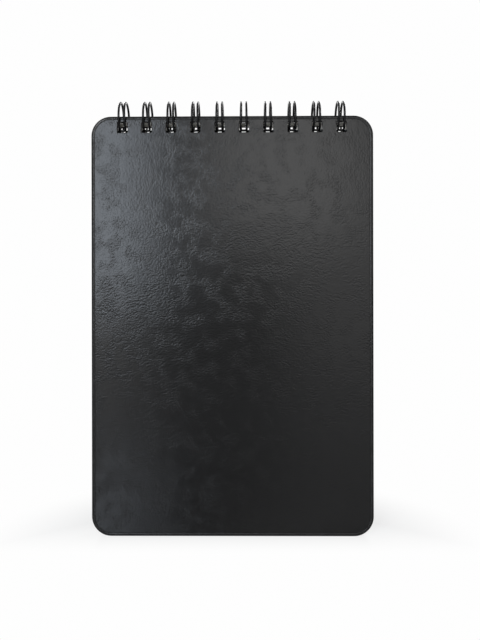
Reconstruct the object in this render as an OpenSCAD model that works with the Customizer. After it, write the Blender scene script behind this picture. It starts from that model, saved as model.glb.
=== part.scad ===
// Pocket notebook, bound at the top: two hard covers and a block of pages on a twin-loop wire.
// It stands upright on the bottom edges of its covers, with the front cover facing -Y.
// X runs across the covers, Z is up, and the middle of the loops lies over X = 0, Y = 0.

/* [Covers] */
// Width of the covers
cover_w = 98; // [60:1:210]
// Height of the covers
cover_h = 146; // [80:1:297]
// Thickness of each cover
cover_t = 1.6; // [1:0.1:2.5]
// Radius of the covers' corners
cover_corner_r = 6.8; // [3:0.1:12]
// Rounding of the covers' rims
rim_r = 0.55; // [0.1:0.05:0.7]

/* [Pages] */
// Thickness of the block of pages
page_t = 3.9; // [1.5:0.1:15]
// How far the pages stay back from the covers' sides and bottom
page_inset = 1.5; // [0.5:0.1:2.5]
// How far the pages stay back from the covers' top edge
page_top_inset = 0.5; // [0.2:0.1:1]

/* [Holes] */
// Spacing of the holes, three to the inch
pitch = 8.467; // [6.35:0.001:12.7]
// Least distance from a side of the covers to the middle of the nearest hole
row_margin = 9.5; // [6:0.1:20]
// Width of the holes
hole_w = 3.5; // [3.3:0.1:4.6]
// Height of the holes
hole_h = 3.7; // [3.2:0.1:5]
// Strip of cover that is left above the holes
hole_drop = 2; // [1.5:0.1:5]
// Rounding of the holes' corners
hole_corner_r = 0.35; // [0.1:0.05:1]

/* [Wire] */
// Thickness of the wire
wire_d = 0.8; // [0.6:0.05:1]
// How much closer the two legs of a loop are at its top than at its foot
leg_taper = 0.6; // [0:0.05:0.8]
// Radius of the bends that lead from a loop to the next
base_bend_r = 1; // [0.8:0.05:1.3]
// Length of wire that is left beyond the bends at the two cut ends
cut_end_l = 0.8; // [0.4:0.1:2]
// How far the binding has slid sideways in its holes, to the right if above 0
wire_shift = -0.15; // [-0.3:0.05:0.3]

/* [Clearances] */
// Space above and below the wire where it passes through the holes
hole_clearance = 0.25; // [0.2:0.05:0.5]
// Space beside the legs of the wire in the holes
side_clearance = 0.3; // [0.25:0.05:0.6]
// Space in front of and behind the wire's base, which lies behind the front cover
seam_clearance = 0.2; // [0.15:0.05:0.5]
// Space between the closed tip of each loop and the wire's base
tip_clearance = 0.35; // [0.3:0.05:1.2]
// Space between the pages and the back cover
page_clearance = 0.2; // [0.1:0.05:0.5]

/* [Hidden] */

cover_colour = "#2b2b2d";
page_colour = "#e9e6dd";
wire_colour = "#161617";
round_fn = 64;

// The stack from front to back, centred on the loops
seam_gap = wire_d + 2 * seam_clearance;
stack_t = 2 * cover_t + seam_gap + page_t + page_clearance;
front_y = -stack_t / 2;
page_y = front_y + cover_t + seam_gap;
back_y = page_y + page_t + page_clearance;

rim = min(rim_r, 0.4 * cover_t);
page_corner_r = cover_corner_r - page_inset;
page_w = cover_w - 2 * page_inset;
page_h = cover_h - page_inset - page_top_inset;

// The row of holes
loops = floor((cover_w - 2 * row_margin) / pitch) + 1;
hole_x = [for (i = [0 : loops - 1]) (i - (loops - 1) / 2) * pitch];
hole_top_z = cover_h - hole_drop;
hole_z = hole_top_z - hole_h / 2;
cut_over = 1;

// The smallest round loop that clears the holes' lower edges in the middle of the stack
// and their upper edges at both outer faces
wire_r = wire_d / 2;
loop_room = hole_h - wire_d - 2 * hole_clearance;
loop_r = (pow(stack_t / 2, 2) + pow(loop_room, 2)) / (2 * loop_room) + wire_r;
loop_z = hole_top_z - hole_h + hole_clearance + wire_r + loop_r;

// The two legs of a loop lean apart towards its foot
foot_half = hole_w / 2 - side_clearance - wire_r;
splay = asin(leg_taper / 4 / loop_r);
mid_half = foot_half - leg_taper / 4;

// Angles run round the loop from its foot, over the back and the top to the front
base_y = page_y - seam_gap / 2;
base_angle = asin(base_y / norm([loop_r, base_bend_r])) + atan(base_bend_r / loop_r);
tip_reach = foot_half + base_bend_r + wire_d + tip_clearance;
tip_setback = sqrt(pow(tip_reach, 2) - pow(foot_half + base_bend_r, 2));
tip_angle = base_angle - tip_setback / loop_r * 180 / PI;

// Half the space between the legs at an angle, middle to middle
function leg_half(angle) = mid_half + loop_r * cos(angle) * sin(splay);
// How far the middle of a leg lies in front of or behind the loop's middle, and above it
function leg_y(angle) = loop_r * sin(angle);
function leg_z(angle) = -loop_r * cos(angle) * cos(splay);
// How steeply the legs climb there, and how fast they lean apart
function climb(angle) = atan2(sin(angle) * cos(splay), cos(angle));
function lean(angle) = -asin(sin(angle) * sin(splay));

// Runs of wire end inside a ball that is a hair thicker than the wire
joint_r = 1.03 * wire_r;

module rounded_rectangle(w, h, r) {
    square([w - 2 * r, h], center = true);
    square([w, h - 2 * r], center = true);
    for (x = [-1, 1], y = [-1, 1])
        translate([x * (w / 2 - r), y * (h / 2 - r)])
            circle(r, $fn = round_fn);
}

module holes(t) {
    for (x = hole_x)
        translate([x, hole_z, -cut_over])
            linear_extrude(t + 2 * cut_over)
                rounded_rectangle(hole_w, hole_h, hole_corner_r);
}

// Half of a cover's section, from its middle at x = 0 out to its rounded rim at x = reach
module rim_section(reach) {
    square([reach - rim, cover_t]);
    translate([0, rim])
        square([reach, cover_t - 2 * rim]);
    for (y = [rim, cover_t - rim])
        translate([reach - rim, y])
            circle(rim, $fn = round_fn);
}

module rim_bar(l) {
    rotate([90, 0, 0])
        linear_extrude(l, center = true)
            rim_section(cover_corner_r);
}

module rim_corner() {
    rotate_extrude(angle = 90, $fn = round_fn)
        rim_section(cover_corner_r);
}

// A cover lying on its inner face, with its holes at the top
module cover_plate() {
    straight_w = cover_w - 2 * cover_corner_r;
    straight_h = cover_h - 2 * cover_corner_r;
    difference() {
        translate([0, cover_h / 2, 0]) {
            translate([-straight_w / 2, -straight_h / 2, 0])
                cube([straight_w, straight_h, cover_t]);
            for (turn = [0, 180])
                rotate([0, 0, turn]) {
                    translate([straight_w / 2, 0, 0])
                        rim_bar(straight_h);
                    translate([0, straight_h / 2, 0])
                        rotate([0, 0, 90])
                            rim_bar(straight_w);
                    translate([straight_w / 2, straight_h / 2, 0])
                        rim_corner();
                    translate([-straight_w / 2, straight_h / 2, 0])
                        rotate([0, 0, 90])
                            rim_corner();
                }
        }
        holes(cover_t);
    }
}

module upright(y, t) {
    translate([0, y + t, 0])
        rotate([90, 0, 0])
            children();
}

module front_cover() {
    color(cover_colour)
        upright(front_y, cover_t)
            cover_plate();
}

module page_block() {
    color(page_colour)
        upright(page_y, page_t)
            difference() {
                translate([0, page_inset + page_h / 2, 0])
                    linear_extrude(page_t)
                        rounded_rectangle(page_w, page_h, page_corner_r);
                holes(page_t);
            }
}

module back_cover() {
    color(cover_colour)
        upright(back_y, cover_t)
            cover_plate();
}

// A bend of wire round the origin in the XY plane
module bend(r, from, to) {
    rotate_extrude(angle = to - from, start = from, $fn = round_fn)
        translate([r, 0])
            circle(wire_r, $fn = round_fn);
}

// A ball over the end of such a bend, with its poles along the wire
module joint(r, angle) {
    rotate([0, 0, angle])
        translate([r, 0, 0])
            rotate([90, 0, 0])
                sphere(joint_r, $fn = round_fn);
}

// The leg on the right of a loop, from the base to the tip
module leg() {
    translate([mid_half, 0, 0])
        rotate([0, 90 - splay, 0]) {
            bend(loop_r, base_angle, tip_angle + 360);
            joint(loop_r, base_angle);
            joint(loop_r, tip_angle);
        }
}

// The closed tip that joins the two legs
module tip() {
    spread = lean(tip_angle);
    tip_r = leg_half(tip_angle) / cos(spread);
    translate([0, leg_y(tip_angle), leg_z(tip_angle)])
        rotate([climb(tip_angle), 0, 0])
            translate([0, tip_r * sin(spread), 0])
                bend(tip_r, -spread, 180 + spread);
}

// The bend from the foot of the right leg out to the base, and the straight run of the base
// that follows it, if it has a length
module base(run_l) {
    spread = lean(base_angle);
    translate([leg_half(base_angle), leg_y(base_angle), leg_z(base_angle)])
        rotate([climb(base_angle) + 180, 0, 0])
            translate([base_bend_r * cos(spread), base_bend_r * sin(spread), 0]) {
                bend(base_bend_r, 90, 180 + spread);
                joint(base_bend_r, 90);
                if (run_l > 0)
                    translate([0, base_bend_r, 0])
                        rotate([0, 90, 0])
                            cylinder(run_l, wire_r, wire_r, $fn = round_fn);
            }
}

// Both halves of a loop. The base on its right ends inside the next loop's joint, and the
// outer sides of the first and last loops have a cut end.
module loop(first, last) {
    run_l = pitch - 2 * (leg_half(base_angle) + base_bend_r * cos(lean(base_angle)));
    tip();
    leg();
    mirror([1, 0, 0])
        leg();
    base(last ? cut_end_l : run_l);
    mirror([1, 0, 0])
        base(first ? cut_end_l : 0);
}

module wire_binding() {
    color(wire_colour)
        for (i = [0 : loops - 1])
            translate([hole_x[i] + wire_shift, 0, loop_z])
                loop(i == 0, i == loops - 1);
}

front_cover();
page_block();
back_cover();
wire_binding();
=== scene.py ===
"""Pocket notebook with hard leatherette covers and a twin-loop wire along its top.

Lengths are in metres. X runs across the covers, Z is up, and the front cover faces -Y.
"""

import math
from functools import cached_property

import bpy
import numpy as np
from mathutils.geometry import delaunay_2d_cdt
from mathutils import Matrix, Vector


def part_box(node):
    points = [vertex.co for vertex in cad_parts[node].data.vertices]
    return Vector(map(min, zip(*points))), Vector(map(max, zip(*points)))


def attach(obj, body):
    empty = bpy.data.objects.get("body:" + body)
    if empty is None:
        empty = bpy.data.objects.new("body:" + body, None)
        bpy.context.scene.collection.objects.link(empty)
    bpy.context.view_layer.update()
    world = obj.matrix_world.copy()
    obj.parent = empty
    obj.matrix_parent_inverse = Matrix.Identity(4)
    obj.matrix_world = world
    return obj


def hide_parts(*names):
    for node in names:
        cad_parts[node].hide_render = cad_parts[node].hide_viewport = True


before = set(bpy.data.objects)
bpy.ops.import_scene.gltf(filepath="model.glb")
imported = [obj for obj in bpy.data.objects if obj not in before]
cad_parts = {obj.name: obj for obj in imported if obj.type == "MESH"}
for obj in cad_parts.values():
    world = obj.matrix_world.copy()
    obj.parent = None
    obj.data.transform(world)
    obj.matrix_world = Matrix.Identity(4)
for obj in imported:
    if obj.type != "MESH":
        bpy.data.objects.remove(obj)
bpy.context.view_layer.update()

# The sizes of the CAD model that its boxes don't give
MM = 0.001
PITCH = 8.467 * MM
LOOPS = 10
HOLE_W = 3.5 * MM
HOLE_H = 3.7 * MM
HOLE_CORNER = 0.35 * MM
HOLE_DROP = 2 * MM
COVER_CORNER = 6.8 * MM
PAGE_CORNER = 5.3 * MM
WIRE_R = 0.4 * MM
BASE_BEND_R = 1 * MM
CUT_END = 0.8 * MM
WIRE_SHIFT = -0.15 * MM
HOLE_CLEARANCE = 0.25 * MM
SIDE_CLEARANCE = 0.3 * MM
TIP_CLEARANCE = 0.35 * MM

# The wire's legs come together at the top by less than in the CAD. The closed tips of the
# loops are squarer than a half circle, which would have a squareness of 1, and a bit longer.
LEG_TAPER = 0.3 * MM
TIP_SQUARENESS = 0.55
TIP_EXTRA = 0.15 * MM

# The sheets of paper: the share of a sheet's room that is air, how far a sheet may lie out of
# line sideways, and how much of that up or down
SHEETS = 41
SHEET_AIR = 0.12
SHEET_SLIP = 0.08 * MM
UPRIGHT_SLIP = 0.6

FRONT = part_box("front_cover")
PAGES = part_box("page_block")
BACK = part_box("back_cover")
COVER_W = FRONT[1][0] - FRONT[0][0]
COVER_H = FRONT[1][2] - FRONT[0][2]
HOLE_TOP = COVER_H - HOLE_DROP
HOLE_Z = HOLE_TOP - HOLE_H / 2
HOLE_X = (np.arange(LOOPS) - (LOOPS - 1) / 2) * PITCH


# ---- Meshes ----

def piece(name, points, faces, smooth, body=None, node=None):
    """Makes an object of points and faces; it rides on a body and stands for a CAD node."""
    mesh = bpy.data.meshes.new(name)
    mesh.from_pydata(points.tolist(), [], faces)
    mesh.polygons.foreach_set("use_smooth", [smooth] * len(faces))
    mesh.update()
    made = bpy.data.objects.new(name, mesh)
    bpy.context.scene.collection.objects.link(made)
    if body:
        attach(made, body)
        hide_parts(node)
    return made


def rounded_rectangle(width, height, corner, inset, steps):
    """Outline of a rounded rectangle round (0, 0), pulled in by inset: a quarter circle of
    radius corner - inset round the middle of each corner, one after the other."""
    turn = np.repeat(np.arange(4), steps)
    angle = turn * np.pi / 2 + np.tile(np.linspace(0, np.pi / 2, steps), 4)
    side_x = np.where((turn == 0) | (turn == 3), 1, -1)
    side_z = np.where(turn < 2, 1, -1)
    radius = corner - inset
    return np.stack([side_x * (width / 2 - corner) + radius * np.cos(angle),
                     side_z * (height / 2 - corner) + radius * np.sin(angle)], axis=1)


def wall(start, rings, count, flip=False):
    """Quads of a closed wall: `rings` outlines of `count` points each, from index start on."""
    ring, step = np.meshgrid(np.arange(rings - 1), np.arange(count), indexing="ij")
    here = start + ring * count + step
    beside = start + ring * count + (step + 1) % count
    quads = np.stack([here, beside, beside + count, here + count], axis=-1).reshape(-1, 4)
    return quads[:, ::-1] if flip else quads


def rings(section, middle, width, height, corner, steps):
    """Outlines of a rounded rectangle round the middle in X and Z, one for each step of a
    section, which gives (how far it is pulled in, y) from the front to the back."""
    return np.concatenate([
        np.insert(rounded_rectangle(width, height, corner, inset, steps) + middle, 1, y, axis=1)
        for inset, y in section])


def plate(width, height, corner, middle_z, rim, hole_rim, steps, shift=(0, 0)):
    """A plate with the row of holes, moved by shift in X and Z. Its outline is carried along
    the section rim, and each hole's along hole_rim. The two faces between the outlines are
    triangles, with none inside a hole."""
    groups = [rings(rim, np.add((0, middle_z), shift), width, height, corner, steps)]
    groups += [rings(hole_rim, np.add((x, HOLE_Z), shift), HOLE_W, HOLE_H, HOLE_CORNER, 4)
               for x in HOLE_X]
    lengths = [len(rim)] + [len(hole_rim)] * LOOPS
    counts = [len(group) // length for group, length in zip(groups, lengths)]
    starts = np.cumsum([0] + [len(group) for group in groups[:-1]])
    points = np.concatenate(groups)
    quads = [wall(start, length, count, flip=start == 0)
             for start, length, count in zip(starts, lengths, counts)]

    front = np.concatenate([start + np.arange(count) for start, count in zip(starts, counts)])
    back = front + np.repeat([(length - 1) * count
                              for length, count in zip(lengths, counts)], counts)
    follower = np.concatenate([np.roll(np.arange(end - count, end), -1)
                               for end, count in zip(np.cumsum(counts), counts)])
    edges = np.stack([np.arange(len(front)), follower], axis=1)
    flat = points[front][:, [0, 2]]
    whole_area, tolerance = 0, 1e-9
    faces, origins = delaunay_2d_cdt(flat.tolist(), edges.tolist(), [],
                                     whole_area, tolerance)[2:4]
    triangles = np.array(origins)[:, 0][np.array(faces)]
    middles = flat[triangles].mean(axis=1) - np.add((0, HOLE_Z), shift)
    widened = -hole_rim[0][0]
    in_hole = ((np.abs(middles[:, :1] - HOLE_X).min(axis=1) < HOLE_W / 2 + widened)
               & (np.abs(middles[:, 1]) < HOLE_H / 2 + widened))
    triangles = triangles[~in_hole]
    return points, np.concatenate(quads), np.concatenate([front[triangles],
                                                          back[triangles][:, ::-1]])


def rounded_edge(low, high, radius, shoulder, sag, steps):
    """Section of a plate's rim: flat, then sinking by sag over the shoulder, then a quarter
    circle at each face, as (pulled in, y) pairs from the front to the back."""
    angle = np.linspace(0, np.pi / 2, steps)
    slope = np.linspace(0, 1, 4)[:-1]
    level_strip = 0.4
    inset = np.concatenate([[shoulder + radius * (1 + level_strip)],
                            radius + shoulder * (1 - slope), radius * (1 - np.sin(angle))])
    depth = np.concatenate([[0], sag * slope ** 2, sag + (radius - sag) * (1 - np.cos(angle))])
    front = np.stack([inset, low + depth], axis=1)
    back = np.stack([inset, high - depth], axis=1)[::-1]
    return np.concatenate([front, back])


def cover(name, box, body):
    """A hard cover with a soft shoulder round its rim and softened edges on its holes."""
    low, high = box[0][1], box[1][1]
    rim = rounded_edge(low, high, radius=0.55 * MM, shoulder=0.6 * MM, sag=0.05 * MM, steps=6)
    hole_rim = rounded_edge(low, high, radius=0.14 * MM, shoulder=0.1 * MM, sag=0.01 * MM,
                            steps=4) * [-1, 1]
    points, quads, triangles = plate(COVER_W, COVER_H, COVER_CORNER, COVER_H / 2,
                                     rim, hole_rim, steps=16)
    return piece(name, points, quads.tolist() + triangles.tolist(), True, body, body)


def page_sheets():
    """The pages as thin sheets, each out of line by a few hundredths of a millimetre."""
    low, high = np.array(PAGES[0]), np.array(PAGES[1])
    room = (high[1] - low[1]) / SHEETS
    gap = SHEET_AIR * room
    slips = np.random.default_rng(11).uniform(-SHEET_SLIP, SHEET_SLIP, (SHEETS, 2))
    slips[:, 1] *= UPRIGHT_SLIP
    points, faces, start = [], [], 0
    for k, slip in enumerate(slips):
        front = low[1] + k * room + gap / 2
        back = front + room - gap
        made, quads, triangles = plate(
            high[0] - low[0], high[2] - low[2], PAGE_CORNER, (low[2] + high[2]) / 2,
            rim=[(SHEET_SLIP, front), (SHEET_SLIP, back)], hole_rim=[(0, front), (0, back)],
            steps=12, shift=slip)
        points.append(made)
        faces += (quads + start).tolist() + (triangles + start).tolist()
        start += len(made)
    return piece("page_sheets", np.concatenate(points), faces, False,
                 "binding", "page_block")


def wire_path(tip_steps=15, leg_steps=72, bend_steps=9):
    """Middle line of the wire through all the loops, and for each point the direction that
    leads away from the loops' middle. Round a loop the two legs follow a circle in a plane
    that leans by splay; at the tip they join in a squarish arc, and at the base each turns out
    in a quarter circle to a straight run, both flat on the loop."""
    room = HOLE_H - 2 * WIRE_R - 2 * HOLE_CLEARANCE
    half_stack = (BACK[1][1] - FRONT[0][1]) / 2
    loop_r = (half_stack ** 2 + room ** 2) / (2 * room) + WIRE_R
    loop_z = HOLE_TOP - HOLE_H + HOLE_CLEARANCE + WIRE_R + loop_r
    foot_half = HOLE_W / 2 - SIDE_CLEARANCE - WIRE_R
    splay = math.asin(LEG_TAPER / 4 / loop_r)
    base_y = (FRONT[1][1] + PAGES[0][1]) / 2
    base = math.asin(base_y / math.hypot(loop_r, BASE_BEND_R)) + math.atan(BASE_BEND_R / loop_r)
    reach = foot_half + BASE_BEND_R
    tip = base - math.sqrt((reach + 2 * WIRE_R + TIP_CLEARANCE) ** 2 - reach ** 2) / loop_r

    def half(angle):
        """Half the space between the two legs at an angle round the loop."""
        return foot_half - LEG_TAPER / 4 + loop_r * np.cos(angle) * math.sin(splay)

    def on_loop(x, along, angle):
        """x, and along the loop's tangent from the point at angle."""
        climb = math.atan2(math.sin(angle) * math.cos(splay), math.cos(angle))
        out = np.broadcast_to([0, math.sin(climb), -math.cos(climb)], (len(x), 3))
        return np.stack([x, loop_r * math.sin(angle) + along * math.cos(climb),
                         -loop_r * math.cos(angle) * math.cos(splay) + along * math.sin(climb)],
                        axis=1), out

    turn = np.linspace(math.pi / 2, 0, tip_steps + 1)[:-1]
    closed_tip = on_loop(half(tip) * np.cos(turn) ** TIP_SQUARENESS,
                         (half(tip) + TIP_EXTRA) * np.sin(turn) ** TIP_SQUARENESS, tip)

    angle = np.linspace(tip + 2 * math.pi, base, leg_steps)
    leg = (np.stack([half(angle), loop_r * np.sin(angle),
                     -loop_r * np.cos(angle) * math.cos(splay)], axis=1),
           np.stack([0 * angle, np.sin(angle), -np.cos(angle)], axis=1))

    spread = -math.asin(math.sin(base) * math.sin(splay))
    turn = np.linspace(math.pi + spread, math.pi / 2, bend_steps + 1)[1:]
    bend = on_loop(half(base) + BASE_BEND_R * (math.cos(spread) + np.cos(turn)),
                   -BASE_BEND_R * (math.sin(spread) + np.sin(turn)), base)
    run = on_loop(np.array([PITCH / 2]), np.array([-BASE_BEND_R * (math.sin(spread) + 1)]), base)

    right = [np.concatenate(part) for part in zip(closed_tip, leg, bend, run)]
    left = [part[:0:-1] * [-1, 1, 1] for part in right]
    loop, away = [np.concatenate(part)[1:] for part in zip(left, right)]
    middles = np.stack([HOLE_X + WIRE_SHIFT, 0 * HOLE_X, 0 * HOLE_X + loop_z], axis=1)
    path = (middles[:, None] + loop).reshape(-1, 3)
    path[-1] = path[-2] + [CUT_END, 0, 0]
    path = np.concatenate([path[:1] - [CUT_END, 0, 0], path])
    return path, np.concatenate([away[:1], np.tile(away, (LOOPS, 1))])


def twin_loop_wire(sides=16):
    """Round tube along the wire's middle line, with a flat cap at each cut end. Each ring is a
    circle of the wire's radius across the mean direction of the two runs that meet there."""
    path, away = wire_path()
    ahead = np.diff(path, axis=0)
    ahead /= np.linalg.norm(ahead, axis=1, keepdims=True)
    along = np.concatenate([ahead[:1], ahead[1:] + ahead[:-1], ahead[-1:]])
    along /= np.linalg.norm(along, axis=1, keepdims=True)
    out = away - (away * along).sum(axis=1, keepdims=True) * along
    out /= np.linalg.norm(out, axis=1, keepdims=True)
    across = np.cross(along, out)
    angle = np.linspace(0, 2 * np.pi, sides, endpoint=False)[None, :, None]
    ring = np.cos(angle) * out[:, None] + np.sin(angle) * across[:, None]
    tube = path[:, None] + WIRE_R * ring
    points = np.concatenate([tube.reshape(-1, 3), path[[0, -1]]])
    step = np.arange(sides)
    after = (step + 1) % sides
    last, end = (len(path) - 1) * sides, len(path) * sides
    caps = np.concatenate([np.stack([after, step, 0 * step + end], axis=1),
                           np.stack([last + step, last + after, 0 * step + end + 1], axis=1)])
    faces = wall(0, len(path), sides).tolist() + caps.tolist()
    return piece("twin_loop_wire", points, faces, True, "binding", "wire_binding")


# ---- Finishes ----

class Signal:
    """A socket in a finish. Arithmetic on it adds Math nodes."""

    def __init__(self, finish, socket):
        self.finish, self.socket = finish, socket

    def maths(self, operation, first, second=0.0):
        return self.finish.node("Math", {"operation": operation}, {0: first, 1: second})

    def __add__(self, other):
        return self.maths("ADD", self, other)

    def __sub__(self, other):
        return self.maths("SUBTRACT", self, other)

    def __rsub__(self, other):
        return self.maths("SUBTRACT", other, self)

    def __mul__(self, other):
        return self.maths("MULTIPLY", self, other)

    def __truediv__(self, other):
        return self.maths("DIVIDE", self, other)

    def __pow__(self, other):
        return self.maths("POWER", self, other)

    def __abs__(self):
        return self.maths("ABSOLUTE", self)

    __radd__, __rmul__ = __add__, __mul__

    def at_least(self, other):
        return self.maths("MAXIMUM", self, other)

    def at_most(self, other):
        return self.maths("MINIMUM", self, other)

    def ramp(self, low, high):
        """0 below low, 1 above high and smooth between them; falls where low is above high."""
        if low > high:
            return 1 - self.ramp(high, low)
        return self.finish.node("MapRange", {"interpolation_type": "SMOOTHSTEP"},
                                {"Value": self, "From Min": low, "From Max": high})


class Finish:
    """A material, or the world, that is being built node by node."""

    def __init__(self, owner):
        owner.use_nodes = True
        self.owner, self.tree = owner, owner.node_tree
        self.tree.nodes.clear()

    def node(self, kind, settings=None, sockets=None, output=0):
        """Adds a node, sets its settings, then gives its sockets their values or links."""
        made = self.tree.nodes.new("ShaderNode" + kind)
        for name, value in (settings or {}).items():
            setattr(made, name, value)
        for name, value in (sockets or {}).items():
            if isinstance(value, Signal):
                self.tree.links.new(value.socket, made.inputs[name])
            else:
                made.inputs[name].default_value = value
        return Signal(self, made.outputs[output])

    @cached_property
    def place(self):
        return self.node("TexCoord", output="Object")

    def axis(self, name):
        return self.node("SeparateXYZ", {}, {0: self.place}, name)

    def noise(self, size, detail=2, roughness=0.5):
        """Noise from 0 to 1 with patches of about that size."""
        return self.node("TexNoise", {}, {"Vector": self.place, "Scale": 1 / size,
                                          "Detail": detail, "Roughness": roughness})

    def cells(self, size):
        """Distance to the nearest of scattered points, about that size apart."""
        return self.node("TexVoronoi", {"feature": "F1"},
                         {"Vector": self.place, "Scale": 1 / size})

    def mix(self, factor, first, second):
        return self.node("Mix", {"data_type": "RGBA"}, {0: factor, 6: first, 7: second}, 2)

    def surface(self, shader, output="OutputMaterial"):
        """Links the shader to the output, which completes the material or the world."""
        out = self.tree.nodes.new("ShaderNode" + output)
        self.tree.links.new(shader.socket, out.inputs["Surface"])
        return self.owner

    def coat(self, colour, roughness, height, **sockets):
        """Finishes the material as one Principled surface with a relief of height millimetres."""
        normal = self.node("Bump", {}, {"Height": height, "Distance": MM, "Strength": 1})
        values = {"Base Color": colour, "Roughness": roughness, "Normal": normal}
        values.update({name.replace("_", " "): value for name, value in sockets.items()})
        return self.surface(self.node("BsdfPrincipled", {}, values))


def edge_distance(x, z, width, height, corner):
    """Distance to a rounded rectangle's outline, below 0 inside: the reach of the point past
    the middle of the corner, less the corner's radius."""
    past_x = abs(x) - (width / 2 - corner)
    past_z = abs(z) - (height / 2 - corner)
    outside = (past_x.at_least(0) ** 2 + past_z.at_least(0) ** 2) ** 0.5
    return outside + past_x.at_least(past_z).at_most(0) - corner


def leatherette(name):
    """Near-black embossed leatherette on board: fine pebbles, crinkles and shallow waves, a
    pressed line along the rim with a painted highlight, a lighter band broken up by noise, on
    the shoulder outside it, and a plain lining on the inner face. Distances from the rim and
    heights are in millimetres."""
    # Distances from the rim of the pressed line and of the painted highlight band on the shoulder
    pressed_at, highlight_band_at = -1.15, -0.75
    inner_face = -FRONT[1][1] / MM

    f = Finish(bpy.data.materials.new(name))
    x, y, z = [f.axis(axis) for axis in "XYZ"]
    rim = edge_distance(x, z - COVER_H / 2, COVER_W, COVER_H, COVER_CORNER) / MM
    inner = (abs(y) / MM).ramp(inner_face + 0.25, inner_face + 0.15)
    outer = 1 - inner

    pebbles = f.cells(0.6 * MM)
    fine = f.noise(0.32 * MM, 1)
    medium = f.noise(0.7 * MM)
    crinkle = f.noise(2.0 * MM, 3, 0.6)
    wave = f.noise(9 * MM)
    patches = f.noise(16 * MM, 3)
    pressed = abs(rim - pressed_at).ramp(0.2, 0.0)
    edge = rim.ramp(-0.6, -0.2)
    # Painted highlight: a lighter grey band on the rim's shoulder, broken up by noise, stands in
    # for light caught by the rounded edge
    painted_highlight_breakup = 0.5 + f.noise(3 * MM, 3).ramp(0.35, 0.65) * 0.5
    painted_highlight = abs(rim - highlight_band_at).ramp(0.25, 0.05) * painted_highlight_breakup

    bare = 0.35 + f.noise(5 * MM).ramp(0.4, 0.62) * 0.65
    grain = pebbles * -0.04 + fine * 0.026 + medium * 0.012
    height = outer * (bare * grain + crinkle * 0.018 + wave * 0.05 - pressed * 0.05)
    colour = f.mix(patches, (0.0015, 0.0015, 0.0016, 1), (0.0025, 0.0025, 0.0027, 1))
    # The shoulder band's lighter grey of 0.02 is a painted highlight
    for mask, grey in ((pressed * 0.7, 0.003), (painted_highlight, 0.02), (edge, 0.002), (inner, 0.012)):
        colour = f.mix(mask, colour, (grey, grey, grey, 1))
    roughness = 0.17 + patches * 0.02 + edge * 0.2 + inner * 0.36
    return f.coat(colour, roughness, height, Specular_IOR_Level=0.17)


def paper(name):
    """Uncoated cream paper: each sheet's edge has its own tone, and the face shows fibres."""
    f = Finish(bpy.data.materials.new(name))
    fibres = f.noise(0.25 * MM, 3, 0.7)
    clouds = f.noise(6 * MM)
    sheet = f.node("TexNoise", {"noise_dimensions": "1D"},
                   {"W": f.axis("Y") / (0.1 * MM), "Scale": 0.9, "Detail": 1})
    tone = (sheet * 0.5 + fibres * 0.3 + clouds * 0.2).ramp(0.2, 0.8)
    colour = f.mix(tone, (0.76, 0.74, 0.69, 1), (0.85, 0.83, 0.79, 1))
    return f.coat(colour, 0.85 + fibres * 0.1, fibres * 0.004, Specular_IOR_Level=0.2)


def nylon_coat(name):
    """Black nylon over steel wire: a half-gloss skin with a faint orange peel and scuffs."""
    f = Finish(bpy.data.materials.new(name))
    peel = f.noise(0.35 * MM, 1)
    scuffs = f.noise(1.6 * MM, 3, 0.7).ramp(0.52, 0.7)
    colour = f.mix(scuffs, (0.003, 0.003, 0.0032, 1), (0.01, 0.01, 0.011, 1))
    return f.coat(colour, 0.16 + scuffs * 0.14, peel * 0.006, Specular_IOR_Level=0.15)


# ---- The notebook ----

leather = leatherette("black_leatherette")
for made in (cover("front_board", FRONT, "front_cover"), cover("back_board", BACK, "back_cover")):
    made.data.materials.append(leather)
page_sheets().data.materials.append(paper("cream_paper"))
twin_loop_wire().data.materials.append(nylon_coat("black_nylon_wire"))


# ---- Floor, light and camera ----

WHITE = (0.99, 0.99, 0.99, 1)
COOL = (0.82, 0.9, 1)
# The strength of the world's light on the object
WORLD_LEVEL = 0.22
LAMP_DISTANCE = 0.65

# The camera's place, its roll and how far it is turned to the left, in radians, and its focal
# length and sensor in millimetres
EYE = (0.0053, -0.2544, 0.0751)
ROLL, TO_LEFT = 0.0017, 0.0105
LENS, SENSOR = 40.55, 36

# Side of the floor's sheet, how far it lies below the notebook, and how much of its shade the
# camera sees near the notebook. The rest of what the camera sees there is white.
FLOOR_SIDE = 8
FLOOR_DROP = 0.02 * MM
SHADE = 0.5


def pale_floor():
    """Level sheet under the notebook. To the camera it fades to the white of the backdrop,
    and keeps a light shadow near the notebook."""
    cells = 8
    side = np.linspace(-FLOOR_SIDE / 2, FLOOR_SIDE / 2, cells + 1)
    x, y = np.meshgrid(side, side, indexing="ij")
    points = np.stack([x.ravel(), y.ravel(), 0 * x.ravel() - FLOOR_DROP], axis=1)
    k = (np.arange(cells)[:, None] * (cells + 1) + np.arange(cells)).ravel()
    quads = np.stack([k, k + cells + 1, k + cells + 2, k + 1], axis=1)
    made = piece("floor", points, quads.tolist(), False)

    f = Finish(bpy.data.materials.new("pale_floor"))
    away = f.node("VectorMath", {"operation": "LENGTH"}, {0: f.place}, "Value")
    ahead = f.axis("Y") * -1
    fade = away.ramp(0.04, 0.09).at_least(ahead.ramp(-0.026, 0.024))
    seen = f.node("LightPath", output="Is Camera Ray")
    sheen = f.node("BsdfPrincipled", {}, {"Base Color": (0.93, 0.93, 0.93, 1), "Roughness": 0.15,
                                          "Specular IOR Level": 0.8})
    white = f.node("Emission", {}, {"Color": WHITE, "Strength": 1})
    made.data.materials.append(f.surface(f.node("MixShader", {}, {
        0: seen * (1 - SHADE + fade * SHADE), 1: sheen, 2: white})))


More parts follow.
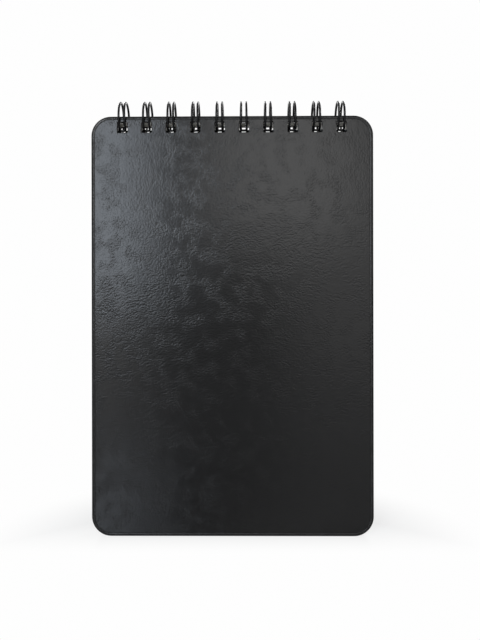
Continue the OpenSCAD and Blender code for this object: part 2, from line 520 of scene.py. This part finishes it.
def softbox(name, place, size, watts, colour=(1, 1, 1), side=-1):
    """A lit rectangle in front of the notebook that faces it, or behind it where side is 1;
    place gives X and Z."""
    lamp = bpy.data.lights.new(name, "AREA")
    lamp.shape, lamp.size, lamp.size_y = "RECTANGLE", size[0], size[1]
    lamp.energy, lamp.color = watts, colour
    made = bpy.data.objects.new(name, lamp)
    made.location = (place[0], LAMP_DISTANCE * side, place[1])
    made.rotation_euler = (-side * math.pi / 2, 0, 0)
    bpy.context.scene.collection.objects.link(made)


def surroundings():
    """White all round for what is seen or mirrored, and a plain level for what is lit."""
    f = Finish(bpy.data.worlds.new("white_studio"))
    bpy.context.scene.world = f.owner
    camera_ray, glossy_ray, transmission_ray = [
        f.node("LightPath", output=f"Is {kind} Ray")
        for kind in ("Camera", "Glossy", "Transmission")]
    seen = camera_ray.at_least(glossy_ray).at_least(transmission_ray)
    strength = WORLD_LEVEL + seen * (1 - WORLD_LEVEL)
    f.surface(f.node("Background", {}, {"Color": WHITE, "Strength": strength}), "OutputWorld")


def camera():
    data = bpy.data.cameras.new("camera")
    data.lens, data.sensor_width = LENS, SENSOR
    data.clip_start, data.clip_end = 0.01, 20
    made = bpy.data.objects.new("camera", data)
    made.location = EYE
    made.rotation_euler = (math.pi / 2, ROLL, TO_LEFT)
    bpy.context.scene.collection.objects.link(made)
    bpy.context.scene.camera = made


pale_floor()
surroundings()
softbox("key", (-0.18, 0.268), (0.107, 0.331), 1.85, COOL)
softbox("upper_right", (0.053, 0.299), (0.187, 0.251), 0.78)
softbox("low_right", (0.17, 0.16), (0.231, 0.3), 0.4)
softbox("low_left", (-0.19, 0.075), (0.093, 0.15), 0.14)
softbox("corner", (-0.33, 0.5), (0.1, 0.14), 0.9)
softbox("left_rim", (-0.285, 0.26), (0.04, 0.3), 0.35)
softbox("right_rim", (0.28, 0.38), (0.05, 0.3), 0.3)
softbox("back_key", (0.3, 0.52), (0.22, 0.36), 1.8, side=1)
softbox("back_fill", (-0.25, 0.5), (0.14, 0.26), 0.6, side=1)
camera()
bpy.context.scene.view_settings.view_transform = "Standard"
